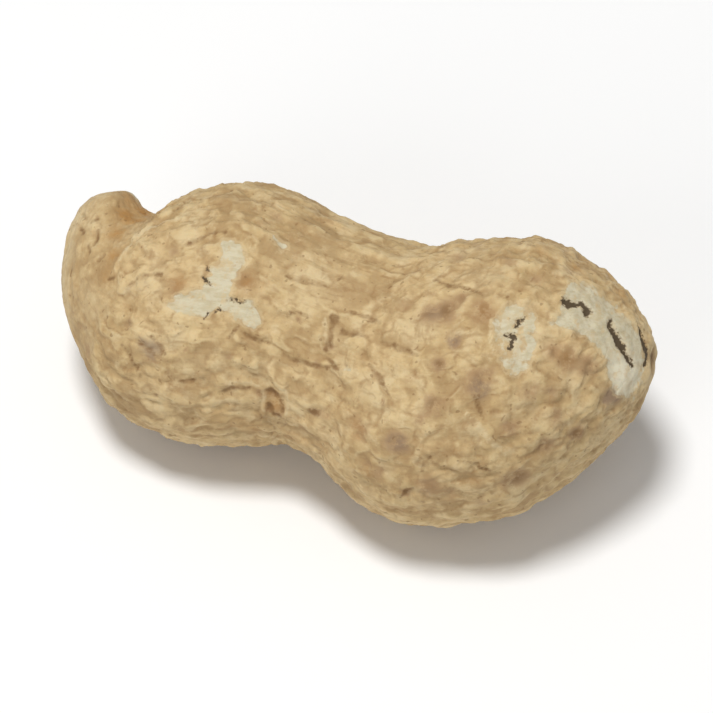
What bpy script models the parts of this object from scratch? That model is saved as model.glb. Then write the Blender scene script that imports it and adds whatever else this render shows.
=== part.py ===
"""A peanut in its shell: a pod of two lobes with a low waist, a hooked beak at one end and a stem scar at the other.

The pod grew as one piece, so it is one closed solid. Its shell carries a raised net: ribs that run from the
beak to the stem scar, and cross links between them. The pod lies on two small flat spots, one under each lobe.
Sizes are in millimetres, and the finished mesh is in metres, with +X along the pod towards the stem scar, +Z up,
and the origin at the middle of the pod's footprint.
"""

import math

import bmesh
import bpy
import numpy as np
from mathutils import Matrix, Vector, noise

MM = 0.001

# The pod's sections from beak to stem scar, in its own plane of symmetry. Each is an ellipse:
# place, distance along, height of its centre, lean in degrees, half width in the plane, half thickness across it.
SECTIONS = (
    (0, -17.5, 11.2, 78, 0.0, 0.0),
    (1, -17.7, 10.6, 70, 1.9, 2.0),
    (2, -17.7, 8.7, 60, 3.1, 3.5),
    (3, -17.2, 6.6, 45, 4.4, 4.9),
    (4, -16.1, 4.8, 29, 5.7, 6.3),
    (5, -14.3, 3.5, 17, 7.4, 7.4),
    (6, -11.7, 2.9, 9, 8.4, 8.1),
    (7, -8.5, 2.85, 4, 8.85, 8.4),
    (8, -5.3, 2.7, 2, 8.5, 8.1),
    (9, -2.3, 1.5, 15, 7.75, 7.4),
    (10, 1.0, 0.1, 25, 8.05, 7.5),
    (11, 3.7, -0.95, 23, 9.25, 8.3),
    (12, 6.55, -1.6, 19, 9.85, 9.0),
    (13, 9.65, -1.6, 15, 9.75, 9.1),
    (14, 12.75, -1.55, 11, 8.8, 8.3),
    (15, 15.55, -1.2, 9, 6.95, 6.8),
    (16, 17.7, -0.8, 7, 4.9, 4.9),
    (17, 19.35, -0.45, 4, 2.75, 2.8),
    (18, 20.1, -0.25, 3, 0.0, 0.0),
)
PLACES = SECTIONS[-1][0]

# The raised net: ribs from end to end, and links between neighbouring ribs
RIBS = 22
LINKS = 22
RIDGE_WIDTH = 0.24  # in ribs or links
RIB_HEIGHT = 0.34
LINK_HEIGHT = 0.45
LINK_STEPS = (0, 1 / 3)  # how far a link may stand from its even place, in links
LINK_LEANS = (-1 / 3, 0, 1 / 3)  # how far it climbs from rib to rib
NET_SEED = 11
SWAYS = ((8.0, 0.15, 0.45), (2.6, 0.06, 0.14))  # size, how far the net wanders round in radians, along in places
WANDER_SEED = 1795979735  # this pod's own wandering: any other whole number gives another pod's
PATCH_SIZE = 4.5  # size of the patches where the net is stronger or weaker
PATCH_SHARE = 0.4

# Where the links are lower: place, reach in places, share that is missing
CALM = ((9.4, 1.6, 0.5), (0.5, 2.2, 0.6))
FULL_NET = 7.0  # half width of a section where the net has its full height: towards the tips it is finer

# Mesh of the shell: whole numbers of steps for each rib and link, so that the ridges fall on its lines
SEGMENTS = RIBS * 4
RINGS = LINKS * 3

# Broad unevenness of the shell
LUMP_SIZE = 6.0
LUMP_HEIGHT = 0.2

# The scar where the stem broke off
SCAR_RADIUS = 1.3
SCAR_RIM = 0.18
SCAR_DENT = 0.4

# How the pod lies: stem end turned forward, then rolled back on to its cheek, then set along +X
TURN = -15.0
ROLL = -54.0
YAW = 20.0
REST_DEPTH = 0.3  # how much of each lobe's lowest point is pressed flat
REST_CALM = 1.0  # height above the table within which the net fades out

SHELL_COLOUR = (0.52, 0.36, 0.19, 1.0)
SHELL_ROUGHNESS = 0.85


def clear_scene():
    for thing in list(bpy.data.objects):
        bpy.data.objects.remove(thing)


def sections_at(place):
    """Centre x and height, lean, half width and half thickness of the sections at these places, as columns.

    A smooth curve runs through the table. Past each tip it goes on as a mirror image with the widths' signs
    changed, so that the tips are round.
    """
    table = np.array(SECTIONS, float)
    knots, values = table[:, 0], table[:, 1:]
    mirror = np.array([1, 1, 1, -1, -1])
    knots = np.concatenate([[2 * knots[0] - knots[1]], knots, [2 * knots[-1] - knots[-2]]])
    values = np.vstack([values[1] * mirror, values, values[-2] * mirror])
    slopes = (values[2:] - values[:-2]) / (knots[2:] - knots[:-2])[:, None]
    knots, values = knots[1:-1], values[1:-1]
    first = np.clip(np.searchsorted(knots, place, side="right") - 1, 0, len(knots) - 2)
    step = (knots[first + 1] - knots[first])[:, None]
    t = (place - knots[first])[:, None] / step
    return (
        (2 * t**3 - 3 * t**2 + 1) * values[first]
        + (t**3 - 2 * t**2 + t) * step * slopes[first]
        + (3 * t**2 - 2 * t**3) * values[first + 1]
        + (t**3 - t**2) * step * slopes[first + 1]
    )


def smooth_shell(place, angle):
    """Points of the shell without its net, in the pod's own frame: X along it, Z in its plane of symmetry."""
    x, z, lean, width, thickness = sections_at(place).T
    lean = np.radians(lean)
    in_plane = width * np.cos(angle)
    return np.stack(
        [x + in_plane * np.sin(lean), thickness * np.sin(angle), z + in_plane * np.cos(lean)], axis=1
    )


def wander(place, angle):
    """The same places and angles, moved so that the net's lines wander over the shell as grown ribs do."""
    noise.seed_set(WANDER_SEED)
    points = smooth_shell(place, angle)
    open_ends = np.sin(math.pi * place / PLACES)
    for size, turned, moved in SWAYS:
        drift = np.array([noise.noise_vector(Vector(p) / size) for p in points])
        place = place + moved * open_ends * drift[:, 0]
        angle = angle + turned * drift[:, 1]
    return place, angle


def rib_ridge(across):
    return np.exp(-(((across - np.round(across)) / RIDGE_WIDTH) ** 2))


def link_ridge(across, along):
    """Links run from rib to rib in staggered rows, each with a drawn place, climb and strength."""
    draw = np.random.default_rng(NET_SEED)
    start = draw.choice(LINK_STEPS, (LINKS + 4, RIBS))
    climb = draw.choice(LINK_LEANS, (LINKS + 4, RIBS))
    strength = draw.uniform(0.65, 1.0, (LINKS + 4, RIBS))
    gap = np.floor(across).astype(int) % RIBS
    part = across - np.floor(across)
    height = np.zeros(len(across))
    for ahead in (-3, -2, -1, 0, 1):
        row = np.floor(along).astype(int) + ahead
        kept = np.clip(row + 3, 0, LINKS + 3)
        away = along - row - (gap % 3) * 2 / 3 - start[kept, gap] - climb[kept, gap] * (part - 0.5)
        height = np.maximum(height, strength[kept, gap] * np.exp(-((away / RIDGE_WIDTH) ** 2)))
    return height


def relief(place, angle, points):
    """Height of the shell's surface over the smooth pod, from its place and angle before they wander."""
    across = angle / math.tau * RIBS
    along = place / PLACES * LINKS
    linked = np.ones(len(place))
    for where, reach, missing in CALM:
        linked -= missing * np.exp(-(((place - where) / reach) ** 2))
    rib = RIB_HEIGHT * rib_ridge(across)
    link = LINK_HEIGHT * linked * link_ridge(across, along)
    patch = np.array([noise.noise(Vector(p) / PATCH_SIZE) for p in points])
    net = np.maximum(rib, link) * (1 + PATCH_SHARE * patch) - RIB_HEIGHT / 2
    width = np.abs(sections_at(place)[:, 3])
    lumps = np.array([noise.noise(Vector(p) / LUMP_SIZE) for p in points])
    return np.clip(width / FULL_NET, 0, 1) ** 1.5 * net + LUMP_HEIGHT * lumps


def stem_scar(place, points):
    """Height of the round scar at the stem end: a low rim round a dent."""
    from_tip = np.linalg.norm(points - points[np.argmax(place)], axis=1) / SCAR_RADIUS
    rim = SCAR_RIM * np.exp(-(((from_tip - 1) / 0.45) ** 2))
    return rim - SCAR_DENT * np.exp(-((from_tip / 0.6) ** 2))


def lying_down():
    """The turn from the pod's own frame to the way it lies on the table."""
    turn = Matrix.Rotation(math.radians(TURN), 3, "Z")
    roll = Matrix.Rotation(math.radians(ROLL), 3, "X")
    yaw = Matrix.Rotation(math.radians(YAW), 3, "Z")
    return np.array(yaw @ roll @ turn)


def vertex_normals(mesh):
    mesh.normal_update()
    return np.array([v.normal for v in mesh.verts])


def pod_mesh():
    """The shell as a UV sphere whose points are moved on to the pod, beak at its first pole."""
    mesh = bmesh.new()
    bmesh.ops.create_uvsphere(mesh, u_segments=SEGMENTS, v_segments=RINGS, radius=1)
    ball = np.array([v.co for v in mesh.verts])
    place = np.arccos(np.clip(ball[:, 2], -1, 1)) / math.pi * PLACES
    angle = np.arctan2(ball[:, 1], ball[:, 0])
    own = smooth_shell(*wander(place, angle))
    lying = own @ lying_down().T
    lying[:, 2] -= lying[:, 2].min() + REST_DEPTH
    for vertex, point in zip(mesh.verts, lying):
        vertex.co = point
    bmesh.ops.recalc_face_normals(mesh, faces=mesh.faces)
    calm = np.clip((lying[:, 2] + REST_DEPTH) / REST_CALM, 0, 1) ** 2
    height = calm * relief(place, angle, own) + stem_scar(place, own)
    lying += vertex_normals(mesh) * height[:, None]
    lying[:, 2] = np.maximum(lying[:, 2], 0)
    middle = (lying.min(axis=0) + lying.max(axis=0)) / 2
    lying[:, :2] -= middle[:2]
    for vertex, point in zip(mesh.verts, lying):
        vertex.co = point * MM
    return mesh


def shell_material():
    material = bpy.data.materials.new("shell")
    material.use_nodes = True
    surface = material.node_tree.nodes["Principled BSDF"]
    surface.inputs["Base Color"].default_value = SHELL_COLOUR
    surface.inputs["Roughness"].default_value = SHELL_ROUGHNESS
    surface.inputs["Metallic"].default_value = 0.0
    return material


def build():
    clear_scene()
    group = bpy.data.collections.new("peanut")
    bpy.context.scene.collection.children.link(group)
    mesh = pod_mesh()
    data = bpy.data.meshes.new("peanut_shell")
    mesh.to_mesh(data)
    mesh.free()
    data.shade_smooth()
    data.materials.append(shell_material())
    group.objects.link(bpy.data.objects.new("peanut_shell", data))


build()
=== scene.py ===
"""Looks for the peanut: its finely netted shell with worn patches, slits and stains, on a pale floor in soft light."""

import math

import bmesh
import bpy
import numpy as np
from mathutils import Matrix, Vector, noise


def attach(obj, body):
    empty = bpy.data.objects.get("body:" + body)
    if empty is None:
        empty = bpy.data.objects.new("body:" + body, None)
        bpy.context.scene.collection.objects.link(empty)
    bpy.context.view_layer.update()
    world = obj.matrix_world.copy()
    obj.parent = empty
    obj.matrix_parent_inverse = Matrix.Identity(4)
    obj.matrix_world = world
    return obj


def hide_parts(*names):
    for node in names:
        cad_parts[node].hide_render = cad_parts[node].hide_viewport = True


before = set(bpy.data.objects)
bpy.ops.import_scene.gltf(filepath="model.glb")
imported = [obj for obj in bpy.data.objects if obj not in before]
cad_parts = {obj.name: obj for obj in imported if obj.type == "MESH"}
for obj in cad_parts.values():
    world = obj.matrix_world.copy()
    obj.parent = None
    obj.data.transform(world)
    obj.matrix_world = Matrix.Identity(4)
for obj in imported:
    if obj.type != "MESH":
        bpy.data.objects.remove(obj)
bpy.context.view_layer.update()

MM = 0.001
PIECE = "peanut_shell_netted"

# The pod's sections from beak to stem scar, as in the part: place, distance along, height of the centre,
# lean in degrees, half width in the plane of symmetry, half thickness across it
SECTIONS = (
    (0, -17.5, 11.2, 78, 0.0, 0.0),
    (1, -17.7, 10.6, 70, 1.9, 2.0),
    (2, -17.7, 8.7, 60, 3.1, 3.5),
    (3, -17.2, 6.6, 45, 4.4, 4.9),
    (4, -16.1, 4.8, 29, 5.7, 6.3),
    (5, -14.3, 3.5, 17, 7.4, 7.4),
    (6, -11.7, 2.9, 9, 8.4, 8.1),
    (7, -8.5, 2.85, 4, 8.85, 8.4),
    (8, -5.3, 2.7, 2, 8.5, 8.1),
    (9, -2.3, 1.5, 15, 7.75, 7.4),
    (10, 1.0, 0.1, 25, 8.05, 7.5),
    (11, 3.7, -0.95, 23, 9.25, 8.3),
    (12, 6.55, -1.6, 19, 9.85, 9.0),
    (13, 9.65, -1.6, 15, 9.75, 9.1),
    (14, 12.75, -1.55, 11, 8.8, 8.3),
    (15, 15.55, -1.2, 9, 6.95, 6.8),
    (16, 17.7, -0.8, 7, 4.9, 4.9),
    (17, 19.35, -0.45, 4, 2.75, 2.8),
    (18, 20.1, -0.25, 3, 0.0, 0.0),
)
PLACES = SECTIONS[-1][0]
POD_WAY = 52.0  # from beak to stem scar over the shell

# The raised net, as in the part
RIBS = 22
LINKS = 22
RIDGE_WIDTH = 0.24
RIB_HEIGHT = 0.34
LINK_HEIGHT = 0.45
LINK_STEPS = (0, 1 / 3)
LINK_LEANS = (-1 / 3, 0, 1 / 3)
NET_SEED = 11
SWAYS = ((8.0, 0.15, 0.45), (2.6, 0.06, 0.14))
WANDER_SEED = 1795979735
PATCH_SIZE = 4.5
PATCH_SHARE = 0.4
CALM = ((9.4, 1.6, 0.5), (0.5, 2.2, 0.6))
FULL_NET = 7.0
LUMP_SIZE = 6.0
LUMP_HEIGHT = 0.2
SCAR_RADIUS = 1.3
SCAR_RIM = 0.18
SCAR_DENT = 0.4

# How the part's mesh divides the shell, and how much finer this one does
CAD_SEGMENTS = RIBS * 4
CAD_RINGS = LINKS * 3
FINER = 4

# How the pod lies, as in the part
TURN = -15.0
ROLL = -54.0
YAW = 20.0
REST_DEPTH = 0.3
REST_CALM = 1.0

# The photograph's camera: the pod's own origin is at this pixel, and a pixel there is this many millimetres
CAMERA_AWAY = 290.0
CAMERA_RISE = 54.0
POD_PIXEL = (317.0, 505.0)
MM_PER_PIXEL = 0.1515
FRAME_WIDTH = 47.5  # millimetres across the picture at the pod
SENSOR = 36.0


def sections_at(place):
    """Centre x and height, lean, half width and half thickness of the sections at these places, as columns."""
    table = np.array(SECTIONS, float)
    knots, values = table[:, 0], table[:, 1:]
    mirror = np.array([1, 1, 1, -1, -1])
    knots = np.concatenate([[2 * knots[0] - knots[1]], knots, [2 * knots[-1] - knots[-2]]])
    values = np.vstack([values[1] * mirror, values, values[-2] * mirror])
    slopes = (values[2:] - values[:-2]) / (knots[2:] - knots[:-2])[:, None]
    knots, values = knots[1:-1], values[1:-1]
    first = np.clip(np.searchsorted(knots, place, side="right") - 1, 0, len(knots) - 2)
    step = (knots[first + 1] - knots[first])[:, None]
    t = (place - knots[first])[:, None] / step
    return (
        (2 * t**3 - 3 * t**2 + 1) * values[first]
        + (t**3 - 2 * t**2 + t) * step * slopes[first]
        + (3 * t**2 - 2 * t**3) * values[first + 1]
        + (t**3 - t**2) * step * slopes[first + 1]
    )


def smooth_shell(place, angle):
    """Points of the shell without its net, in the pod's own frame: X along it, Z in its plane of symmetry."""
    x, z, lean, width, thickness = sections_at(place).T
    lean = np.radians(lean)
    in_plane = width * np.cos(angle)
    return np.stack(
        [x + in_plane * np.sin(lean), thickness * np.sin(angle), z + in_plane * np.cos(lean)], axis=1
    )


def soft_noise(points, size):
    """Blender's own noise at these points, as the part uses it."""
    return np.array([noise.noise(Vector(p) / size) for p in points])


def wander(place, angle):
    noise.seed_set(WANDER_SEED)
    points = smooth_shell(place, angle)
    open_ends = np.sin(math.pi * place / PLACES)
    for size, turned, moved in SWAYS:
        drift = np.array([noise.noise_vector(Vector(p) / size) for p in points])
        place = place + moved * open_ends * drift[:, 0]
        angle = angle + turned * drift[:, 1]
    return place, angle


def rib_ridge(across):
    return np.exp(-(((across - np.round(across)) / RIDGE_WIDTH) ** 2))


def link_ridge(across, along):
    draw = np.random.default_rng(NET_SEED)
    start = draw.choice(LINK_STEPS, (LINKS + 4, RIBS))
    climb = draw.choice(LINK_LEANS, (LINKS + 4, RIBS))
    strength = draw.uniform(0.65, 1.0, (LINKS + 4, RIBS))
    gap = np.floor(across).astype(int) % RIBS
    part = across - np.floor(across)
    height = np.zeros(len(across))
    for ahead in (-3, -2, -1, 0, 1):
        row = np.floor(along).astype(int) + ahead
        kept = np.clip(row + 3, 0, LINKS + 3)
        away = along - row - (gap % 3) * 2 / 3 - start[kept, gap] - climb[kept, gap] * (part - 0.5)
        height = np.maximum(height, strength[kept, gap] * np.exp(-((away / RIDGE_WIDTH) ** 2)))
    return height


def net_relief(place, angle, points):
    """Height of the part's own net over the smooth pod."""
    across = angle / math.tau * RIBS
    along = place / PLACES * LINKS
    linked = np.ones(len(place))
    for where, reach, missing in CALM:
        linked -= missing * np.exp(-(((place - where) / reach) ** 2))
    rib = RIB_HEIGHT * rib_ridge(across)
    link = LINK_HEIGHT * linked * link_ridge(across, along)
    net = np.maximum(rib, link) * (1 + PATCH_SHARE * soft_noise(points, PATCH_SIZE)) - RIB_HEIGHT / 2
    width = np.abs(sections_at(place)[:, 3])
    return np.clip(width / FULL_NET, 0, 1) ** 1.5 * net + LUMP_HEIGHT * soft_noise(points, LUMP_SIZE)


def stem_scar(place, points):
    from_tip = np.linalg.norm(points - points[np.argmax(place)], axis=1) / SCAR_RADIUS
    rim = SCAR_RIM * np.exp(-(((from_tip - 1) / 0.45) ** 2))
    return rim - SCAR_DENT * np.exp(-((from_tip / 0.6) ** 2))


def turned(axis, degrees):
    return np.array(Matrix.Rotation(math.radians(degrees), 3, axis))


LYING = turned("Z", YAW) @ turned("X", ROLL) @ turned("Z", TURN)
TO_CAMERA = turned("Z", YAW) @ np.array(
    [0, -math.cos(math.radians(CAMERA_RISE)), math.sin(math.radians(CAMERA_RISE))]
)
PICTURE_RIGHT = turned("Z", YAW) @ np.array([1.0, 0, 0])
PICTURE_UP = np.cross(TO_CAMERA, PICTURE_RIGHT)


def ball_mesh(segments, rings):
    mesh = bmesh.new()
    bmesh.ops.create_uvsphere(mesh, u_segments=segments, v_segments=rings, radius=1)
    ball = np.array([v.co for v in mesh.verts])
    place = np.arccos(np.clip(ball[:, 2], -1, 1)) / math.pi * PLACES
    angle = np.arctan2(ball[:, 1], ball[:, 0])
    return mesh, place, angle


def put(mesh, points):
    for vertex, point in zip(mesh.verts, points):
        vertex.co = point


def normals_of(mesh):
    bmesh.ops.recalc_face_normals(mesh, faces=mesh.faces)
    mesh.normal_update()
    return np.array([v.normal for v in mesh.verts])


def resting_shift():
    """How far the part moves the pod after it is turned: found on the part's own mesh."""
    mesh, place, angle = ball_mesh(CAD_SEGMENTS, CAD_RINGS)
    own = smooth_shell(*wander(place, angle))
    lying = own @ LYING.T
    drop = lying[:, 2].min() + REST_DEPTH
    lying[:, 2] -= drop
    put(mesh, lying)
    calm = np.clip((lying[:, 2] + REST_DEPTH) / REST_CALM, 0, 1) ** 2
    lying += normals_of(mesh) * (calm * net_relief(place, angle, own) + stem_scar(place, own))[:, None]
    mesh.free()
    middle = (lying.min(axis=0) + lying.max(axis=0)) / 2
    return np.array([middle[0], middle[1], drop])


def lattice(seed):
    draw = np.random.default_rng(seed)
    order = np.tile(draw.permutation(256), 2)
    slopes = draw.normal(size=(256, 3))
    return order, slopes / np.linalg.norm(slopes, axis=1)[:, None]


def ripple(points, size, seed):
    """Gradient noise, about -1 to 1, with a drawn seed."""
    order, slopes = lattice(seed)
    scaled = points / size
    corner = np.floor(scaled).astype(int)
    part = scaled - corner
    ease = part**3 * (part * (part * 6 - 15) + 10)
    total = np.zeros(len(points))
    for dx in (0, 1):
        for dy in (0, 1):
            for dz in (0, 1):
                x, y, z = ((corner + (dx, dy, dz)) & 255).T
                slope = slopes[order[order[order[x] + y] + z]]
                offset = part - (dx, dy, dz)
                weight = (
                    (ease[:, 0] if dx else 1 - ease[:, 0])
                    * (ease[:, 1] if dy else 1 - ease[:, 1])
                    * (ease[:, 2] if dz else 1 - ease[:, 2])
                )
                total += weight * np.einsum("ij,ij->i", slope, offset)
    return total * 1.5


def cells(points, size, seed):
    """Distances to the nearest and the second nearest of scattered points, in cell sizes."""
    order, _ = lattice(seed)
    shift = np.random.default_rng(seed + 1).uniform(0.1, 0.9, (256, 3))
    scaled = points / size
    corner = np.floor(scaled).astype(int)
    nearest = np.full(len(points), 9.0)
    second = np.full(len(points), 9.0)
    for dx in (-1, 0, 1):
        for dy in (-1, 0, 1):
            for dz in (-1, 0, 1):
                cell = corner + (dx, dy, dz)
                x, y, z = (cell & 255).T
                spot = cell + shift[order[order[order[x] + y] + z]]
                away = np.linalg.norm(scaled - spot, axis=1)
                second = np.minimum(second, np.maximum(nearest, away))
                nearest = np.minimum(nearest, away)
    return nearest, second


def step_up(value, low, high):
    t = np.clip((value - low) / (high - low), 0, 1)
    return t * t * (3 - 2 * t)


# Worn patches of pale skin, as outlines in the photograph's pixels
LEFT_PATCH = (
    (232, 482.4), (240, 477.4), (248.5, 475), (252.5, 469), (252, 466), (257, 464.5), (258, 459),
    (257, 455), (261, 453), (266, 456.5), (269, 462), (264.5, 468), (262, 473), (261.5, 478.5),
    (266, 481), (270, 480.5), (274, 484.5), (274.5, 489.5), (271, 493.5), (266.8, 489.5),
    (261, 486), (255.5, 484), (251, 487.5), (243, 486.8), (236, 484.2),
)
MIDDLE_PATCH = (
    (377.6, 489), (381, 484), (386, 481.5), (391.5, 483.8), (395.8, 488), (396.2, 496),
    (394.5, 504), (391.5, 510), (386.2, 513.6), (381.5, 509), (379, 502), (377.4, 495),
)
RIGHT_PATCH = (
    (403, 490.2), (407.5, 485.5), (407.5, 480), (409, 475), (412, 472), (418, 472.5), (424, 477),
    (432, 484), (438.8, 489.8), (443, 497.5), (443.6, 506), (442.4, 515), (439, 523.5),
    (434.8, 523), (431, 520), (428, 513.8), (427.5, 507), (424, 501), (418.5, 495.8), (411.5, 492.6),
)
PALE_PATCHES = ((LEFT_PATCH, 0.2), (MIDDLE_PATCH, 0.1), (RIGHT_PATCH, 0.3))  # outline, how bare it is inside
SMALL_PALE = (((281.8, 453.4, 1.2), (285, 456.2, 1.8)), ((311, 511, 0.9), (313, 511, 0.7)))

# Dark slits, each a line of pixels with a radius at each
SLITS = (
    ((249.6, 469.6, 0.3), (250.4, 471.6, 0.7), (252.4, 473.2, 0.3)),
    ((251.4, 465.8, 0.4), (252, 467.6, 0.3)),
    ((262, 479.3, 0.3), (264.6, 480.2, 0.5), (267.5, 480.8, 0.3)),
    ((249.4, 488.6, 0.3), (251.4, 486.4, 0.3)),
    ((254.6, 485.2, 0.2), (256.4, 483.9, 0.5), (258.2, 485.4, 0.2)),
    ((387.1, 491.8, 0.3), (388.2, 489.6, 0.8), (390.6, 488.4, 0.4)),
    ((382.8, 495.4, 0.4), (386.4, 495.6, 1.0), (385.8, 498.4, 0.7), (384.4, 501.8, 0.7)),
    ((408.6, 479.8, 1.3), (410.6, 481.2, 1.8), (413.4, 481.8, 1.0), (416.4, 480.8, 1.1), (419.2, 484.8, 1.9)),
    ((429.6, 488.8, 0.8), (429.3, 492.3, 1.0), (431.5, 496, 1.6), (432.9, 499.4, 1.6), (434.9, 503.2, 1.2)),
    ((434.9, 503.2, 1.2), (436.9, 505.8, 0.9), (439.2, 509.2, 0.8)),
    ((440.8, 490.4, 0.5), (442.9, 496.6, 1.2), (444.4, 501.2, 1.6), (445, 505, 1.4), (443.8, 509, 0.6)),
)
# Creases, painted as soft dark lines of shadow, in the same way
SHADOW_CREASES = (
    ((328.1, 498.7, 0.6), (336, 501.2, 0.9), (343.5, 504.2, 0.5)),
    ((322.7, 508.7, 0.5), (327.6, 516, 0.7), (331.7, 523.2, 0.4)),
    ((307.6, 485.4, 0.3), (306, 487.6, 0.6), (305.5, 492, 0.6), (305.2, 497.4, 0.6), (303.2, 502.4, 0.7)),
    ((309.4, 487.4, 0.3), (309.8, 491, 0.6), (311, 494.2, 0.6), (316, 495, 0.6), (321.7, 496.4, 0.3)),
    ((303.7, 505.8, 0.5), (306.8, 509, 0.8), (309.8, 512.7, 0.5)),
    ((314.4, 485.2, 0.5), (320, 487.2, 0.8), (327, 490, 0.4)),
    ((286.6, 486.8, 0.3), (291, 485.6, 0.5), (296, 487.6, 0.3)),
    ((267.6, 495, 0.4), (272, 497.4, 0.6), (276, 498.6, 0.4)),
    ((285, 504.4, 0.3), (290, 507, 0.5), (296, 508.6, 0.6), (303.4, 510, 0.4)),
    ((261.4, 496.6, 0.3), (263.2, 493.8, 0.5), (265.4, 491.6, 0.3)),
    ((351, 471, 0.4), (358, 474, 0.7), (366, 475, 0.5), (372, 477.6, 0.3)),
    ((368.4, 522, 0.3), (370.4, 526.6, 0.6), (372.8, 532, 0.3)),
    ((364, 551.6, 0.4), (370, 553, 0.9), (376, 555.4, 0.4)),
    ((336.4, 567, 0.4), (338.4, 565, 0.9), (341.6, 563, 0.4)),
    ((345.6, 556, 0.4), (348.6, 549, 0.6)),
    ((257, 521, 0.5), (263, 518.4, 0.8), (270, 518.8, 0.5)),
    ((213.6, 500, 0.4), (217, 505, 0.8), (222, 514, 0.5)),
    ((221, 498, 0.4), (225, 502, 0.8), (229.6, 505.6, 0.5)),
    ((226.6, 496.4, 0.4), (230, 500, 0.6), (232.4, 504, 0.4)),
    ((233, 513, 0.4), (241, 516, 0.6), (250, 514.8, 0.4)),
    ((286, 469, 0.4), (296, 473, 0.5), (303, 473.6, 0.3)),
    ((243, 455, 0.4), (252, 450.6, 0.6), (260, 450, 0.4)),
    ((217, 473, 0.4), (224, 469, 0.7), (231, 468.6, 0.4)),
    ((309.4, 468.8, 0.6), (310.3, 471, 0.9)),
    ((276.6, 520.8, 0.5), (279.4, 519.6, 0.8), (281.6, 522.6, 1.2)),
    ((278.2, 526.4, 0.6), (279, 529, 1.1), (280.6, 531, 0.5)),
    ((283.4, 525, 0.3), (283.8, 529.6, 0.6)),
    ((295.6, 529, 0.4), (298.2, 530.6, 1.2), (300.6, 529.6, 0.5)),
    ((196.4, 441.8, 0.4), (197.4, 443.6, 0.6)),
    ((195.4, 448.4, 0.5), (196.6, 450.4, 0.5)),
    ((203, 449.4, 0.5), (203.2, 453, 0.8), (201.4, 455.6, 0.5)),
    ((198.6, 456.2, 0.5), (199.4, 459, 0.8)),
    ((203.4, 462.8, 0.5), (205.6, 460.2, 0.8)),
    ((207.6, 470.8, 0.4), (210.2, 470, 0.5)),
    ((200.2, 445.6, 0.4), (203.2, 444.2, 0.5)),
    ((191.6, 466, 0.3), (190.8, 469, 0.6)),
    ((188.4, 484, 0.3), (189.6, 487.4, 0.5)),
)
# Raised edges, painted lighter along them as a highlight
HIGHLIT_EDGES = (
    ((305.6, 485.4, 0.3), (303.8, 489.6, 0.8), (303.2, 496, 0.7), (301, 501.6, 0.4)),
    ((365, 530, 0.6), (372, 537.4, 1.2), (378, 543.6, 1.2), (382, 548, 0.6)),
    ((442.6, 488.6, 0.6), (445.4, 495.4, 1.2), (446.8, 502, 1.2), (446, 509, 1.0), (443.4, 516, 0.5)),
    ((241, 444.4, 0.6), (234.5, 445.4, 0.9), (227, 448, 1.2), (222, 451.4, 1.3), (216, 458, 1.1), (212, 464, 0.5)),
    ((259, 517.4, 0.5), (266, 516.4, 1.0), (274, 518, 0.6)),
    ((281, 516.8, 0.4), (285.2, 520, 0.8), (286.6, 525, 1.1), (285.8, 531, 0.6)),
    ((276.4, 519.4, 0.3), (275.6, 524, 0.7), (276, 529, 0.3)),
    ((376.6, 489, 0.5), (375.8, 496, 0.9), (377.4, 504, 0.5)),
    ((420, 494.6, 0.5), (426, 500.8, 0.9), (428.6, 507, 0.5)),
)
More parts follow.
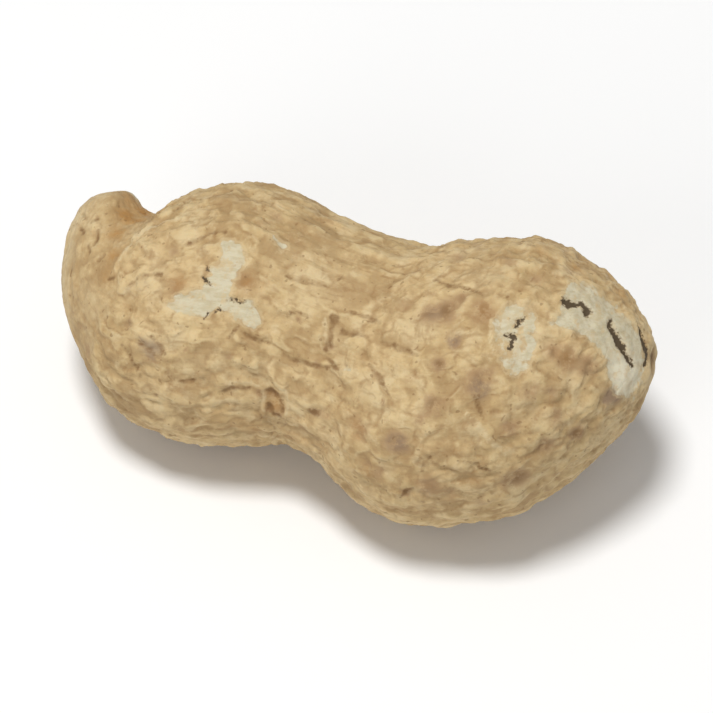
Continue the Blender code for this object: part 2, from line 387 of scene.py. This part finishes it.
# Brown pits: pixel, radius in pixels, dent in millimetres, strength
PITS = (
    (356, 484, 6.0, 0.09, 1.1), (349, 486, 5.0, 0.06, 0.9), (363, 479, 3.6, 0.04, 0.8), (373.6, 485, 5.6, 0.09, 1.1),
    (360.2, 498, 3.4, 0.05, 0.9), (353, 508.2, 3.0, 0.12, 1.2), (370, 517, 6.4, 0.07, 0.9),
    (375, 512, 3.6, 0.03, 0.7), (411, 506, 6.4, 0.10, 1.0), (419, 509, 5.4, 0.07, 0.9), (404, 503, 4.2, 0.04, 0.7),
    (414.2, 539, 4.4, 0.10, 1.2), (399.4, 544.4, 4.6, 0.10, 1.1), (387.5, 558.8, 6.4, 0.08, 1.1),
    (334.5, 543.6, 6.0, 0.06, 0.9), (338.6, 565.4, 2.0, 0.12, 1.3), (318, 536.4, 5.2, 0.05, 0.7),
    (350.4, 527.2, 5.0, 0.08, 0.9), (328.1, 525, 1.6, 0.08, 0.9), (405, 531, 4.4, 0.08, 0.8),
    (345, 533, 4.2, 0.05, 0.6), (384, 537, 4.8, 0.07, 0.8), (393, 520, 4.6, 0.06, 0.6), (430, 522, 5.2, 0.05, 0.9),
    (348, 563, 6.0, 0.05, 0.8), (340, 482, 4.0, 0.03, 0.5), (327, 556, 4.0, 0.04, 0.6), (402, 521, 4.0, 0.04, 0.6),
    (297.9, 530.1, 1.9, 0.14, 1.8), (303, 530, 4.0, 0.05, 0.6), (275.2, 521.4, 1.7, 0.10, 1.4),
    (280.6, 522.2, 2.4, 0.22, 1.8), (279, 528.4, 2.1, 0.20, 1.7), (282.4, 531, 1.6, 0.10, 1.4),
    (281.4, 525.6, 5.4, 0.18, 0.7), (299.6, 508.6, 2.2, 0.05, 0.8), (305.2, 500.8, 1.6, 0.08, 1.0),
    (291.5, 489.1, 1.5, 0.05, 0.9), (303.2, 501.9, 1.4, 0.06, 1.0), (217, 490.8, 2.4, 0.08, 0.9),
    (238, 474.6, 4.6, 0.03, 0.7), (267.6, 472.6, 5.0, 0.03, 0.8), (201.5, 451, 2.0, 0.03, 0.6),
    (236.9, 458.5, 3.4, 0.04, 0.6), (282, 442.5, 3.4, 0.04, 0.6), (260.8, 505.4, 1.5, 0.05, 0.9),
    (228.2, 522.1, 1.4, 0.05, 0.9), (241.7, 502.3, 1.3, 0.04, 0.8), (198, 502, 4.5, 0.03, 0.6),
    (195, 492, 2.5, 0.02, 0.5), (410, 467, 2.6, 0.04, 0.8), (424, 463, 3.0, 0.03, 0.7), (396, 471, 3.4, 0.03, 0.6),
    (385, 463, 3.4, 0.03, 0.6), (362, 461, 4.0, 0.02, 0.5), (345, 466, 3.0, 0.02, 0.5), (371, 456, 3.0, 0.02, 0.5),
    (340, 515, 3.0, 0.04, 0.4), (322, 552, 3.0, 0.04, 0.5), (357, 565, 4.0, 0.05, 0.5), (372, 570, 4.5, 0.04, 0.5),
)
# Greyer stains: pixel, radius in pixels, strength
STAINS = (
    (227, 502, 5.0, 1.0), (223, 499, 3.5, 0.8), (429.6, 523, 5.4, 1.0), (371, 519, 4.6, 0.7), (359.8, 497.4, 3.6, 0.8),
    (334, 543, 5.6, 0.6), (222.6, 472, 4.6, 0.6), (216, 475, 4.0, 0.4), (351, 486, 5.0, 0.4), (412.4, 492.6, 2.4, 0.5),
)
# Orange-brown skin, and painted shade in the valley between the beak and the lobe: pixel, radius in pixels, strength
ORANGE_SKIN_AND_VALLEY_SHADE = (
    (222.5, 440, 6, 1.5), (216.5, 443.4, 6, 1.4), (212.4, 451, 5, 1.0), (210, 461, 4.6, 0.8), (207, 469, 4.2, 0.5),
    (281.4, 525.4, 5, 1.0), (268.6, 472.4, 4, 0.6), (239, 473.4, 4, 0.6), (270, 537, 6, 0.5), (290, 541, 6, 0.4),
    (255, 532, 6, 0.4), (187, 498, 5, 0.5), (374, 485, 5, 0.4), (409, 505, 5, 0.4), (317, 537, 5, 0.4),
    (421, 459, 4, 0.9), (413, 464.6, 4, 0.7), (429, 466, 4, 0.7), (434, 476, 4, 0.6), (398, 457, 5, 0.5),
)
# Paler skin, and painted light on the lit right end of the pod: pixel, radius in pixels, strength
PALE_SKIN_AND_PAINTED_LIGHT = (
    (193, 446, 9, 1.1), (189, 460, 9, 1.1), (187, 475, 9, 1.0), (188, 490, 8, 0.8), (203, 434, 6, 0.8),
    (200, 480, 8, 0.4), (234, 498, 7, 0.5), (300, 470, 14, 0.4), (246, 512, 8, 0.35), (340, 492, 9, 0.35),
    (390, 525, 8, 0.3), (375, 470, 10, 0.35), (286, 538, 10, 0.3), (428, 536, 7, 0.5), (437, 514, 9, 0.9),
)
# The same kinds of marks on the sides that the photograph doesn't show
HIDDEN_SEED = 5
HIDDEN_PATCHES = 5
HIDDEN_SLITS = 7
HIDDEN_SHADOW_CREASES = 34
HIDDEN_PITS = 60
HIDDEN_STAINS = 9


class Marks:
    """Finds where the photograph's pixels fall on the shell. Marks are measured from the points of its skin."""

    def __init__(self, skin, surface, normals):
        self.depth = CAMERA_AWAY - surface @ TO_CAMERA
        flat = np.stack([surface @ PICTURE_RIGHT, -(surface @ PICTURE_UP)], axis=1) / self.depth[:, None]
        self.pixels = flat * CAMERA_AWAY / MM_PER_PIXEL + POD_PIXEL
        self.skin = skin
        facing = np.einsum("ij,ij->i", normals, TO_CAMERA * CAMERA_AWAY - surface) / CAMERA_AWAY
        self.seen = np.flatnonzero(facing > 0.03)
        self.faces_us = facing > 0
        self.hidden = np.flatnonzero(facing < -0.1)

    def spot(self, pixel):
        """The skin's point at a pixel, from the few nearest points that nothing hides."""
        away = np.linalg.norm(self.pixels[self.seen] - pixel, axis=1)
        near = np.argsort(away)[:12]
        depth = self.depth[self.seen[near]]
        near = near[depth < depth.min() + 0.8][:4]
        weight = 1 / (away[near] + 0.05)
        return (self.skin[self.seen[near]] * weight[:, None]).sum(axis=0) / weight.sum()

    def strokes(self, table):
        return [[(self.spot(row[:2]), row[2] * MM_PER_PIXEL) for row in stroke] for stroke in table]

    def hidden_strokes(self, draw, count, length, radius):
        """Bent strokes of three points at drawn places on the hidden side."""
        strokes = []
        for _ in range(count):
            middle = self.skin[self.hidden[draw.integers(len(self.hidden))]]
            reach = length * draw.uniform(0.5, 1.0) / 2
            away = np.abs(np.linalg.norm(self.skin - middle, axis=1) - reach)
            ring = np.argsort(away)[:40]
            start = self.skin[ring[draw.integers(40)]]
            end = self.skin[ring[np.argmax(np.linalg.norm(self.skin[ring] - start, axis=1))]]
            wide = radius * draw.uniform(0.7, 1.2)
            strokes.append([(start, wide * 0.5), (middle, wide), (end, wide * 0.4)])
        return strokes

    def hidden_spots(self, draw, count, radius, dent):
        """Round marks of drawn sizes on the hidden side: point, radius, dent, strength."""
        picks = self.hidden[draw.integers(len(self.hidden), size=count)]
        size = radius * draw.uniform(0.5, 1.5, count)
        return [(self.skin[i], r, dent * draw.uniform(0.3, 1), draw.uniform(0.5, 1)) for i, r in zip(picks, size)]

    def inside(self, strokes):
        """Depth inside the nearest stroke in millimetres: more than 0 within it, less outside."""
        depth = np.full(len(self.skin), -9.0)
        for stroke in strokes:
            for (a, ra), (b, rb) in zip(stroke[:-1], stroke[1:]):
                way = b - a
                t = np.clip((self.skin - a) @ way / (way @ way), 0, 1)
                away = np.linalg.norm(self.skin - a - t[:, None] * way, axis=1)
                depth = np.maximum(depth, ra + (rb - ra) * t - away)
        return depth

    def inside_outline(self, outline):
        """Depth inside a closed outline of pixels in millimetres, on the side that the photograph shows."""
        corners = np.array(outline, float)
        away = np.full(len(self.pixels), 1e9)
        within = np.zeros(len(self.pixels), bool)
        for a, b in zip(corners, np.roll(corners, -1, axis=0)):
            way = b - a
            t = np.clip((self.pixels - a) @ way / (way @ way), 0, 1)
            away = np.minimum(away, np.linalg.norm(self.pixels - a - t[:, None] * way, axis=1))
            beside = (a[1] > self.pixels[:, 1]) != (b[1] > self.pixels[:, 1])
            crossing = a[0] + (self.pixels[:, 1] - a[1]) * way[0] / (way[1] or 1e-9)
            within ^= beside & (self.pixels[:, 0] < crossing)
        depth = np.where(within, away, -away) * MM_PER_PIXEL
        return np.where(self.faces_us, depth, -9.0)

    def spots(self, table, column):
        """Soft round spots, as strong as the given column says."""
        total = np.zeros(len(self.skin))
        for row in table:
            away = np.linalg.norm(self.skin - row[0], axis=1)
            total = np.maximum(total, row[column] * np.exp(-((away / row[1]) ** 2)))
        return total


def skin_relief(place, radius, own, fibre):
    """Fine relief of the skin: height, the signed fields whose zero lines are wrinkles, and how near the beak is."""
    stem_side = step_up(place, 8.5, 12.5)
    waist = np.exp(-(((place - 9.6) / 1.5) ** 2))
    beak = 1 - step_up(place + 0.5 * ripple(own, 1.8, 27), 4.0, 5.0)
    warp = 0.6 * np.stack([ripple(fibre, 2.2, seed) for seed in (21, 22, 23)], axis=1)
    warp += 0.16 * np.stack([ripple(fibre, 0.8, seed) for seed in (24, 25, 26)], axis=1)
    stretched = (fibre + warp) * (0.72, 1, 1)
    small_near, small_second = cells(stretched, 1.2, 31)
    large_near, large_second = cells(stretched, 2.0, 41)
    small = step_up((small_second - small_near) * 1.2, 0.0, 0.36)
    large = step_up((large_second - large_near) * 2.0, 0.0, 0.6)
    nodules = (1 - stem_side) * small * 0.12 + stem_side * (large * 0.085 + small * 0.045)
    nodules *= (1 - 0.55 * waist) * (1 - 0.7 * beak)
    plates = ripple(fibre * (0.6, 1, 1) + warp, 1.15, 81)
    folds = ripple(own + warp * 0.8, 0.75, 82)
    terraces = 0.055 * np.tanh(plates / 0.18) + 0.035 * np.tanh(folds / 0.18)
    grooves = 0.035 * np.exp(-((plates / 0.14) ** 2)) + 0.025 * np.exp(-((folds / 0.14) ** 2))
    streaks = ripple(fibre * (0.16, 1, 1), 0.62, 51) + 0.5 * ripple(fibre * (0.2, 1, 1), 0.3, 52)
    streaks *= 0.05 * (0.3 + waist + 0.7 * beak)
    grain = 0.14 * ripple(own, 2.6, 61) + 0.10 * ripple(own + 0.5 * warp, 1.15, 62) + 0.05 * ripple(own, 0.55, 63)
    calm_tips = np.clip(radius / 3.0, 0, 1)
    rough = (nodules + terraces - grooves) * (1 - 0.55 * beak) + streaks + grain * (1 - 0.5 * beak) - 0.09 * beak
    return rough * calm_tips, plates, folds, beak


SCAR_SHARE = 0.7  # the scar's rim and dent are softer than the part's
NET_SHARE = 0.28  # the net stands lower here, because the finer relief adds to it


def build_pod():
    """The netted shell, with what the materials need to know about each point. Returns it and its slits."""
    shift = resting_shift()
    mesh, place, angle = ball_mesh(CAD_SEGMENTS * FINER, CAD_RINGS * FINER)
    spread_place, spread_angle = wander(place, angle)
    own = smooth_shell(spread_place, spread_angle)
    lying = own @ LYING.T
    put(mesh, lying)
    normals = normals_of(mesh)
    radius = np.abs(sections_at(spread_place)[:, 3:]).mean(axis=1)
    way = spread_place / PLACES * POD_WAY
    fibre = np.stack([way, radius * np.cos(spread_angle), radius * np.sin(spread_angle)], axis=1)
    net = NET_SHARE * net_relief(place, angle, own)
    rough, plates, folds, beak = skin_relief(place, radius, own, fibre)

    skin = lying + 0.2 * np.stack([ripple(own, 1.0, seed) for seed in (91, 92, 93)], axis=1)
    marks = Marks(skin, lying + normals * (net + rough)[:, None], normals)
    draw = np.random.default_rng(HIDDEN_SEED)
    slits = marks.strokes(SLITS) + marks.hidden_strokes(draw, HIDDEN_SLITS, 2.2, 0.16)
    shadow_creases = marks.strokes(SHADOW_CREASES) + marks.hidden_strokes(draw, HIDDEN_SHADOW_CREASES, 3.0, 0.1)
    highlit_edges = marks.strokes(HIGHLIT_EDGES)
    pits = [(marks.spot(row[:2]), row[2] * MM_PER_PIXEL, *row[3:]) for row in PITS]
    pits += marks.hidden_spots(draw, HIDDEN_PITS, 0.5, 0.1)
    stains = [(marks.spot(row[:2]), row[2] * MM_PER_PIXEL, row[3]) for row in STAINS]
    stains += [(spot, r, strength) for spot, r, _, strength in marks.hidden_spots(draw, HIDDEN_STAINS, 0.8, 0)]
    orange_and_valley_shade = [(marks.spot(row[:2]), row[2] * MM_PER_PIXEL, row[3]) for row in ORANGE_SKIN_AND_VALLEY_SHADE]
    light = [(marks.spot(row[:2]), row[2] * MM_PER_PIXEL, row[3]) for row in PALE_SKIN_AND_PAINTED_LIGHT]
    small_pale = marks.strokes(SMALL_PALE) + marks.hidden_strokes(draw, HIDDEN_PATCHES, 4.5, 1.1)
    pale = marks.inside(small_pale)
    for outline, bare in PALE_PATCHES:
        pale = np.maximum(pale, np.minimum(marks.inside_outline(outline), bare))
    pale += 0.16 * ripple(own, 0.9, 71) + 0.08 * ripple(own, 0.4, 72)
    slit = marks.inside(slits)
    crease_shadow = marks.inside(shadow_creases)
    edge_highlight = marks.inside(highlit_edges)

    worn = step_up(pale, -0.12, 0.12)
    dents = 0.06 * worn + marks.spots(pits, 2) + 0.14 * step_up(slit, -0.16, 0.06)
    dents += 0.07 * step_up(crease_shadow, -0.2, 0.05) - 0.08 * step_up(edge_highlight, -0.35, 0.1)
    height = net + rough * (1 - 0.6 * worn) - dents - 0.04
    lying[:, 2] -= shift[2]
    calm = np.clip((lying[:, 2] + REST_DEPTH) / REST_CALM, 0, 1) ** 2
    lying += normals * (calm * height + SCAR_SHARE * stem_scar(place, own))[:, None]
    lying[:, 2] = np.maximum(lying[:, 2], 0)
    lying[:, :2] -= shift[:2]
    put(mesh, lying * MM)
    bmesh.ops.recalc_face_normals(mesh, faces=mesh.faces)
    data = bpy.data.meshes.new(PIECE)
    mesh.to_mesh(data)
    mesh.free()
    data.shade_smooth()
    keep(data, "fibre", fibre)
    keep(data, "skin", skin)
    keep(data, "relief", net + rough)
    keep(data, "plates", plates)
    keep(data, "folds", folds)
    keep(data, "pale", pale)
    keep(data, "brown", marks.spots(pits, 3))
    keep(data, "stain", marks.spots(stains, 2))
    # Orange-brown skin with painted shade in the beak's valley, and paler skin with painted light on the right end
    keep(data, "orange_and_valley_shade", marks.spots(orange_and_valley_shade, 2))
    keep(data, "light", marks.spots(light, 2))
    # Creases carry painted shadow, raised edges a painted highlight
    keep(data, "crease_shadow", crease_shadow)
    keep(data, "edge_highlight", edge_highlight)
    keep(data, "bumpy", 1 - 0.6 * beak)
    keep(data, "from_scar", np.linalg.norm(own - own[np.argmax(place)], axis=1))
    pod = bpy.data.objects.new(PIECE, data)
    bpy.context.scene.collection.objects.link(pod)
    return pod, slits, shift


def keep(data, name, values):
    """Stores values with the mesh's points, for the materials."""
    if values.ndim == 1:
        layer = data.attributes.new(name, "FLOAT", "POINT")
        layer.data.foreach_set("value", values.astype(np.float32))
    else:
        layer = data.attributes.new(name, "FLOAT_VECTOR", "POINT")
        layer.data.foreach_set("vector", values.astype(np.float32).ravel())


class Tree:
    """Short ways to add nodes to a material."""

    def __init__(self, name):
        self.material = bpy.data.materials.new(name)
        self.material.use_nodes = True
        self.tree = self.material.node_tree
        self.surface = self.tree.nodes["Principled BSDF"]

    def add(self, kind, inputs=(), out=0, **settings):
        node = self.tree.nodes.new("ShaderNode" + kind)
        for key, value in settings.items():
            setattr(node, key, value)
        for key, value in dict(inputs).items():
            self.set(node.inputs[key], value)
        return node.outputs[out]

    def set(self, socket, value):
        if isinstance(value, bpy.types.NodeSocket):
            self.tree.links.new(value, socket)
        elif socket.type == "RGBA" and len(value) == 3:
            socket.default_value = (*value, 1)
        else:
            socket.default_value = value

    def attribute(self, name, out="Fac"):
        return self.add("Attribute", out=out, attribute_name=name)

    def math(self, operation, a, b=0.0):
        return self.add("Math", {0: a, 1: b}, operation=operation)

    def vector(self, operation, a, b, out=0):
        return self.add("VectorMath", {0: a, 1: b}, out, operation=operation)

    def scaled(self, a, factor):
        return self.add("VectorMath", {0: a, "Scale": factor}, operation="SCALE")

    def noise(self, where, size, detail=3.0, roughness=0.55, out=0):
        inputs = {"Vector": where, "Scale": 1 / size, "Detail": detail, "Roughness": roughness}
        return self.add("TexNoise", inputs, out)

    def ramp(self, value, low, high, to_low=0.0, to_high=1.0):
        ends = {"From Min": low, "From Max": high, "To Min": to_low, "To Max": to_high}
        return self.add("MapRange", {"Value": value, **ends}, interpolation_type="SMOOTHSTEP")

    def line(self, field, level, width, strength):
        """A soft line where a signed field passes a level."""
        away = self.math("ABSOLUTE", self.math("SUBTRACT", field, level))
        return self.ramp(away, 0.0, width, strength, 0.0)

    def times(self, a, b):
        return self.math("MULTIPLY", a, b)

    def mix(self, share, a, b, blend="MIX"):
        return self.add(
            "Mix", {0: share, 6: a, 7: b}, 2, data_type="RGBA", blend_type=blend, clamp_factor=True
        )


# Colours. Some also paint light and shade: browns in the hollows, wrinkle grooves, creases and the beak's valley are
# painted shade; cream on raised edges and wrinkle steps is painted highlight; white and cream under the paler-skin
# spots are partly painted light
LIGHT_TAN = (0.605, 0.442, 0.226)
DEEP_TAN = (0.525, 0.372, 0.178)
YELLOW_TAN_AND_RIDGE_HIGHLIGHT = (0.655, 0.502, 0.267)
BROWN_AND_HOLLOW_SHADE = (0.40, 0.263, 0.12)
RUSTY_BROWN = (0.38, 0.24, 0.122)
ORANGE_BROWN_AND_VALLEY_SHADE = (0.40, 0.216, 0.07)
LINE_BROWN_AND_GROOVE_SHADE = (0.29, 0.16, 0.06)
SPOT_BROWN_AND_CREASE_SHADOW = (0.21, 0.113, 0.042)
STAIN_GREY = (0.27, 0.195, 0.135)
CREAM_AND_PAINTED_HIGHLIGHT = (0.645, 0.51, 0.295)
PALE_SKIN = (0.60, 0.542, 0.385)
WHITE_SKIN_AND_PAINTED_LIGHT = (0.80, 0.74, 0.57)
PALE_STREAK = (0.525, 0.455, 0.297)
SLIT_DARK = (0.09, 0.062, 0.032)


def inside_strokes(t, where, strokes):
    """How far a point lies inside the nearest stroke, in millimetres."""
    depth = None
    for stroke in strokes:
        for (a, ra), (b, rb) in zip(stroke[:-1], stroke[1:]):
            way = b - a
            from_a = t.vector("SUBTRACT", where, tuple(a))
            part = t.vector("DOT_PRODUCT", from_a, tuple(way / (way @ way)), "Value")
            part = t.math("MAXIMUM", t.math("MINIMUM", part, 1.0), 0.0)
            along = t.add("VectorMath", {0: tuple(way), "Scale": part}, operation="SCALE")
            away = t.vector("DISTANCE", from_a, along, "Value")
            wide = t.add("Math", {0: part, 1: float(rb - ra), 2: float(ra)}, operation="MULTIPLY_ADD")
            inside = t.math("SUBTRACT", wide, away)
            depth = inside if depth is None else t.math("MAXIMUM", depth, inside)
    return depth


def shell_material(slits):
    t = Tree("peanut_skin")
    place = t.scaled(t.add("TexCoord", out="Object"), 1 / MM)
    fibre = t.attribute("fibre", "Vector")
    relief = t.attribute("relief")
    broad = t.noise(place, 6.0, 2.0)
    middle = t.noise(place, 1.7, 4.0, 0.6)
    fine = t.noise(place, 0.4, 2.0, 0.5)
    fine_shift = t.math("SUBTRACT", fine, 0.5)
    middle_shift = t.math("SUBTRACT", middle, 0.5)

    # Base: tans that change over a few millimetres; yellower on what is raised and browner in the hollows, partly the
    # shell's tint and partly painted highlight on the raised net and painted shade in its hollows
    colour = t.mix(t.ramp(broad, 0.38, 0.62), DEEP_TAN, LIGHT_TAN)
    colour = t.mix(t.ramp(middle, 0.42, 0.72, 0.0, 0.6), colour, YELLOW_TAN_AND_RIDGE_HIGHLIGHT)
    blotch = t.math("ADD", t.noise(place, 2.2, 2.0), t.times(middle_shift, 0.3))
    colour = t.mix(t.ramp(blotch, 0.5, 0.37, 0.0, 0.8), colour, BROWN_AND_HOLLOW_SHADE)
    colour = t.mix(t.ramp(blotch, 0.52, 0.66, 0.0, 0.45), colour, CREAM_AND_PAINTED_HIGHLIGHT)
    # Painted shade in the hollows and painted highlight on the raised net, from the relief height
    relief_shade_and_light = t.math("ADD", relief, t.times(middle_shift, 0.2))
    relief_shade_and_light = t.math("ADD", relief_shade_and_light, t.times(fine_shift, 0.2))
    colour = t.mix(t.ramp(relief_shade_and_light, 0.1, -0.28, 0.0, 0.75), colour, BROWN_AND_HOLLOW_SHADE)
    colour = t.mix(t.ramp(relief_shade_and_light, 0.08, 0.32, 0.0, 0.5), colour, YELLOW_TAN_AND_RIDGE_HIGHLIGHT)
    mottle = t.noise(place, 0.85, 4.0, 0.62)
    colour = t.mix(t.ramp(mottle, 0.5, 0.3, 0.0, 0.4), colour, BROWN_AND_HOLLOW_SHADE)
    colour = t.mix(t.ramp(mottle, 0.54, 0.72, 0.0, 0.4), colour, CREAM_AND_PAINTED_HIGHLIGHT)
    # Cream under the paler-skin spots: paler skin, and painted light on the right end
    colour = t.mix(t.times(t.attribute("light"), t.ramp(middle, 0.3, 0.6, 0.5, 1.0)), colour, CREAM_AND_PAINTED_HIGHLIGHT)

    # Wrinkles: thin brown lines of painted shade along their grooves, broken here and there, with a painted highlight
    # on the step beside them
    ragged = t.times(fine_shift, 0.22)
    plates = t.math("ADD", t.attribute("plates"), ragged)
    folds = t.math("ADD", t.attribute("folds"), ragged)
    bumpy = t.attribute("bumpy")
    kept = t.times(bumpy, t.ramp(t.noise(place, 1.1, 3.0), 0.44, 0.6))
    kept_too = t.times(bumpy, t.ramp(t.noise(place, 0.9, 3.0), 0.46, 0.62))
    colour = t.mix(t.times(t.line(plates, 0.24, 0.22, 0.3), kept), colour, CREAM_AND_PAINTED_HIGHLIGHT)
    colour = t.mix(t.times(t.line(plates, 0.0, 0.26, 0.46), kept), colour, LINE_BROWN_AND_GROOVE_SHADE)
    colour = t.mix(t.times(t.line(folds, 0.0, 0.26, 0.32), kept_too), colour, LINE_BROWN_AND_GROOVE_SHADE)

    # Fibres: thin lines along the pod
    long_fibre = t.vector("MULTIPLY", fibre, (0.22, 1.0, 1.0))
    lines = t.noise(long_fibre, 0.42, 3.0, 0.6)
    colour = t.mix(t.ramp(lines, 0.5, 0.33, 0.0, 0.24), colour, LINE_BROWN_AND_GROOVE_SHADE)
    colour = t.mix(t.ramp(fine, 0.45, 0.3, 0.0, 0.14), colour, LINE_BROWN_AND_GROOVE_SHADE)
    colour = t.mix(t.ramp(fine, 0.58, 0.74, 0.0, 0.14), colour, CREAM_AND_PAINTED_HIGHLIGHT)

    # Stains, pits, creases painted as shadow lines and raised edges painted with a highlight
    patchy = t.ramp(t.noise(place, 0.8, 4.0, 0.65), 0.34, 0.56, 0.45, 1.2)
    brown = t.times(t.attribute("brown"), patchy)
    colour = t.mix(t.ramp(brown, 0.03, 0.75, 0.0, 0.75), colour, RUSTY_BROWN)
    colour = t.mix(t.ramp(brown, 0.4, 1.5, 0.0, 0.85), colour, SPOT_BROWN_AND_CREASE_SHADOW)
    # Orange-brown skin, with painted shade in the valley beside the beak
    colour = t.mix(t.times(t.times(t.attribute("orange_and_valley_shade"), patchy), 0.8), colour, ORANGE_BROWN_AND_VALLEY_SHADE)
    stain = t.times(t.attribute("stain"), patchy)
    colour = t.mix(t.ramp(stain, 0.05, 0.9, 0.0, 0.6), colour, STAIN_GREY)
    scar = t.math("ADD", t.attribute("from_scar"), t.times(fine_shift, 0.7))
    colour = t.mix(t.ramp(scar, 1.0, 0.7, 0.0, 0.6), colour, RUSTY_BROWN)
    colour = t.mix(t.ramp(scar, 0.75, 0.4, 0.0, 0.85), colour, SPOT_BROWN_AND_CREASE_SHADOW)
    colour = t.mix(t.line(scar, 1.25, 0.45, 0.6), colour, CREAM_AND_PAINTED_HIGHLIGHT)
    # Raised edges: a painted highlight along them
    edge_highlight = t.math("ADD", t.attribute("edge_highlight"), t.times(fine_shift, 0.3))
    colour = t.mix(t.times(t.ramp(edge_highlight, -0.15, 0.12, 0.0, 0.7), patchy), colour, CREAM_AND_PAINTED_HIGHLIGHT)
    crease_shadow = t.math("ADD", t.attribute("crease_shadow"), t.times(fine_shift, 0.3))
    specks = t.ramp(t.noise(place, 0.33, 0.0), 0.75, 0.83, 0.0, 0.5)
    colour = t.mix(specks, colour, SPOT_BROWN_AND_CREASE_SHADOW)
    # Creases: painted shadow lines, broken here and there
    broken = t.ramp(t.noise(place, 0.6, 2.0), 0.35, 0.6, 0.4, 0.85)
    colour = t.mix(t.times(t.ramp(crease_shadow, -0.16, 0.06), broken), colour, SPOT_BROWN_AND_CREASE_SHADOW)

    # Worn patches: pale papery skin with faint streaks, whiter under the paler-skin spots, which on the right end are
    # painted light
    streak = t.noise(t.vector("MULTIPLY", fibre, (0.35, 1.0, 1.0)), 0.35, 4.0, 0.65)
    skin_colour = t.mix(t.ramp(streak, 0.38, 0.6), PALE_STREAK, PALE_SKIN)
    skin_colour = t.mix(t.attribute("light"), skin_colour, WHITE_SKIN_AND_PAINTED_LIGHT)
    skin_colour = t.mix(t.ramp(mottle, 0.46, 0.34, 0.0, 0.5), skin_colour, LIGHT_TAN)
    pale = t.math("ADD", t.attribute("pale"), t.times(fine_shift, 0.7))
    colour = t.mix(t.line(pale, -0.14, 0.16, 0.4), colour, CREAM_AND_PAINTED_HIGHLIGHT)
    worn = t.ramp(pale, -0.1, 0.12)
    colour = t.mix(t.times(worn, t.ramp(t.noise(place, 1.0, 3.0), 0.32, 0.52, 0.66, 0.96)), colour, skin_colour)

    # Slits
    shaken = t.scaled(t.vector("SUBTRACT", t.noise(place, 0.28, 2.0, out=1), (0.5, 0.5, 0.5)), 0.34)
    where = t.vector("ADD", t.attribute("skin", "Vector"), shaken)
    teeth = t.times(t.math("SUBTRACT", t.noise(place, 0.2, 2.0), 0.5), 0.45)
    slit = t.math("ADD", inside_strokes(t, where, slits), teeth)
    colour = t.mix(t.ramp(slit, -0.13, 0.0, 0.0, 0.5), colour, SPOT_BROWN_AND_CREASE_SHADOW)
    colour = t.mix(t.ramp(slit, -0.05, 0.05), colour, SLIT_DARK)

    t.set(t.surface.inputs["Base Color"], colour)
    t.set(t.surface.inputs["Roughness"], t.ramp(fine, 0.3, 0.7, 0.72, 0.9))
    t.set(t.surface.inputs["Specular IOR Level"], 0.35)
    t.set(t.surface.inputs["Subsurface Weight"], 0.05)
    t.set(t.surface.inputs["Subsurface Radius"], (1.0, 0.55, 0.25))
    t.set(t.surface.inputs["Subsurface Scale"], 0.001)

    # Fine relief that the mesh can't hold
    grain = t.times(fine, 0.36)
    grain = t.math("ADD", grain, t.times(t.noise(place, 0.14, 2.0), 0.08))
    grain = t.math("ADD", grain, t.times(lines, 0.34))
    grain = t.math("SUBTRACT", grain, t.times(t.line(plates, 0.0, 0.16, 0.2), kept))
    grain = t.math("SUBTRACT", grain, t.times(t.line(folds, 0.0, 0.16, 0.15), kept_too))
    bump = t.add("Bump", {"Height": grain, "Strength": 0.4, "Distance": 0.16 * MM})
    t.set(t.surface.inputs["Normal"], bump)
    return t.material


FLOOR_SIZE = 3.0
FLOOR_COLOUR = (0.91, 0.91, 0.905)


def build_floor():
    t = Tree("floor_paper")
    place = t.add("TexCoord", out="Object")
    cloud = t.noise(place, 0.35, 2.0)
    t.set(t.surface.inputs["Base Color"], t.mix(t.ramp(cloud, 0.3, 0.7, 0.0, 0.02), FLOOR_COLOUR, (0.8, 0.8, 0.8)))
    t.set(t.surface.inputs["Roughness"], 0.9)
    t.set(t.surface.inputs["Specular IOR Level"], 0.1)
    mesh = bmesh.new()
    bmesh.ops.create_grid(mesh, x_segments=8, y_segments=8, size=FLOOR_SIZE / 2)
    data = bpy.data.meshes.new("floor")
    mesh.to_mesh(data)
    mesh.free()
    data.materials.append(t.material)
    floor = bpy.data.objects.new("floor", data)
    bpy.context.scene.collection.objects.link(floor)


def add_light(name, place, target, size, power, colour=(1, 1, 1)):
    lamp = bpy.data.lights.new(name, "AREA")
    lamp.shape = "DISK"
    lamp.size = size
    lamp.energy = power
    lamp.color = colour
    thing = bpy.data.objects.new(name, lamp)
    thing.location = place
    aim = Vector(target) - Vector(place)
    thing.rotation_euler = aim.to_track_quat("-Z", "Y").to_euler()
    bpy.context.scene.collection.objects.link(thing)


def light_scene():
    world = bpy.data.worlds.new("studio")
    world.use_nodes = True
    world.node_tree.nodes["Background"].inputs["Color"].default_value = (1.0, 1.0, 1.0, 1)
    world.node_tree.nodes["Background"].inputs["Strength"].default_value = 0.32
    bpy.context.scene.world = world
    add_light("key", (-0.05, -0.04, 0.52), (0, 0, 0.01), 0.13, 1.98)
    add_light("fill", (-0.12, -0.5, 0.3), (0, 0, 0.01), 0.3, 0.6)
    bpy.context.scene.view_settings.view_transform = "Standard"


def place_camera(shift):
    """The camera looks at the pod's own origin, from the photograph's side and height."""
    target = Vector((-shift) * MM)
    back = Vector(TO_CAMERA)
    camera = bpy.data.cameras.new("camera")
    camera.sensor_width = SENSOR
    camera.lens = SENSOR * CAMERA_AWAY / FRAME_WIDTH
    camera.clip_start = 0.01
    camera.clip_end = 20.0
    thing = bpy.data.objects.new("camera", camera)
    thing.location = target + back * CAMERA_AWAY * MM
    thing.rotation_euler = (-back).to_track_quat("-Z", "Y").to_euler()
    bpy.context.scene.collection.objects.link(thing)
    bpy.context.scene.camera = thing


def main():
    pod, slits, shift = build_pod()
    pod.data.materials.append(shell_material(slits))
    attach(pod, "root")
    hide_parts("peanut_shell")
    build_floor()
    light_scene()
    place_camera(shift)


main()
